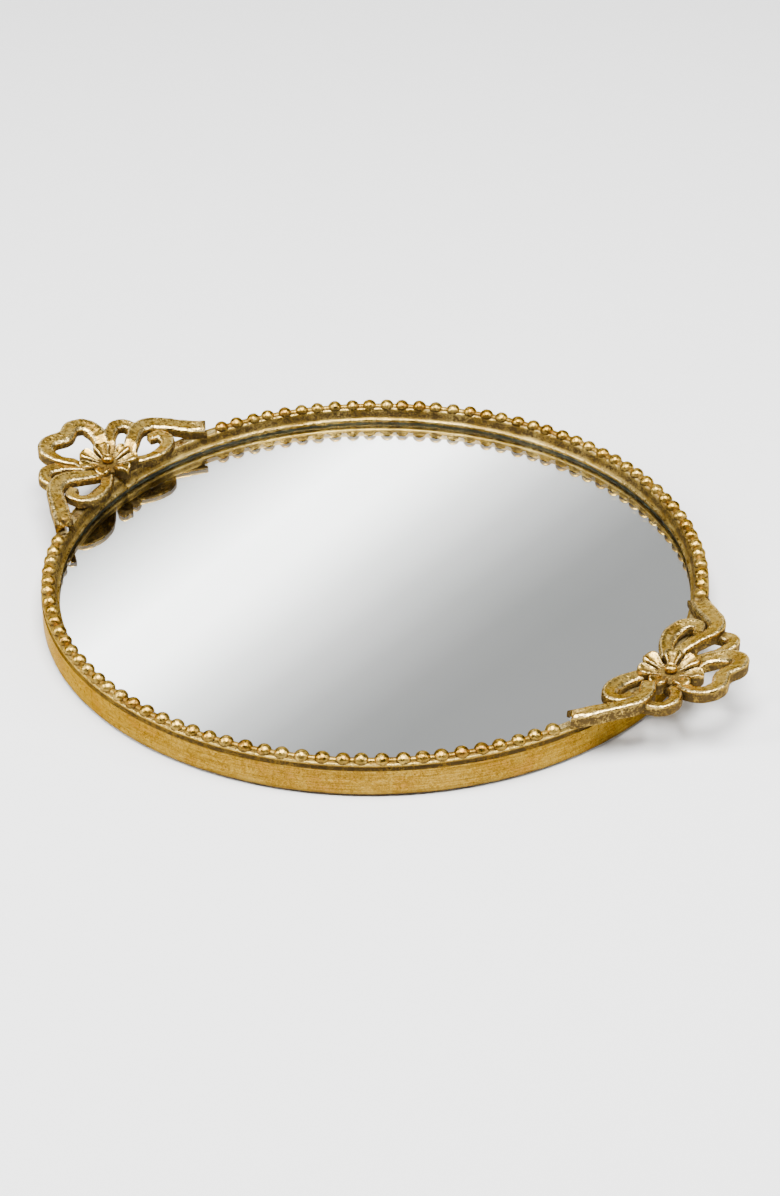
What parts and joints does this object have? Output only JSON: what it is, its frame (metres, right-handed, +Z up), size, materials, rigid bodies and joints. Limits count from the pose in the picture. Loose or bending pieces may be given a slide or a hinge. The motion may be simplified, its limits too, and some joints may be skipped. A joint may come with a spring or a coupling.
{
  "type": "vanity tray",
  "caption": "Round mirrored vanity tray with a beaded antique-gilt rim and ribbon-bow handles at two opposite ends.",
  "frame": {"origin": "centre of the felt base, on the surface the tray stands on", "axes": "+X through the bows towards the east bow, +Z up out of the mirror"},
  "size_m": [0.3756, 0.305, 0.0295],
  "materials": {
    "gilt_band": "antique gold leaf, satin with fine scratches and a brown patina",
    "gilt_moulding": "antique gold leaf, brown in the cove and bright on the lip",
    "gilt_beads": "antique gold leaf, rubbed bright on top and brown between the beads",
    "gilt_bow": "antique gold leaf over a cast surface, brown in the recesses",
    "rivet_brass": "gilt, rubbed bright on its rim",
    "mirror": "polished silvered glass",
    "foam": "thin closed-cell foam sheet",
    "hardboard": "pressed fibre board",
    "felt": "dark brown wool felt",
    "steel": "zinc plated"
  },
  "bodies": {
    "root": {"backing_board": "hardboard", "base_felt": "felt", "bead_row_north": "gilt_beads", "bead_row_south": "gilt_beads", "bow_flower_east": "gilt_bow", "bow_flower_west": "gilt_bow", "bow_screw_1": "steel", "bow_screw_2": "steel", "bow_screw_3": "steel", "bow_screw_4": "steel", "bow_screw_5": "steel", "bow_screw_6": "steel", "crown_loop_east": "gilt_bow", "crown_loop_west": "gilt_bow", "cushion_sheet": "foam", "flower_rivet_east": "rivet_brass", "flower_rivet_west": "rivet_brass", "glazing_point_1": "steel", "glazing_point_2": "steel", "glazing_point_3": "steel", "glazing_point_4": "steel", "glazing_point_5": "steel", "glazing_point_6": "steel", "inner_loop_east_left": "gilt_bow", "inner_loop_east_right": "gilt_bow", "inner_loop_west_left": "gilt_bow", "inner_loop_west_right": "gilt_bow", "mirror_plate": "mirror", "outer_band": "gilt_band", "ribbon_tail_east_left": "gilt_bow", "ribbon_tail_east_right": "gilt_bow", "ribbon_tail_west_left": "gilt_bow", "ribbon_tail_west_right": "gilt_bow", "rim_moulding": "gilt_moulding", "side_loop_east_left": "gilt_bow", "side_loop_east_right": "gilt_bow", "side_loop_west_left": "gilt_bow", "side_loop_west_right": "gilt_bow"}
  },
  "joints": []
}
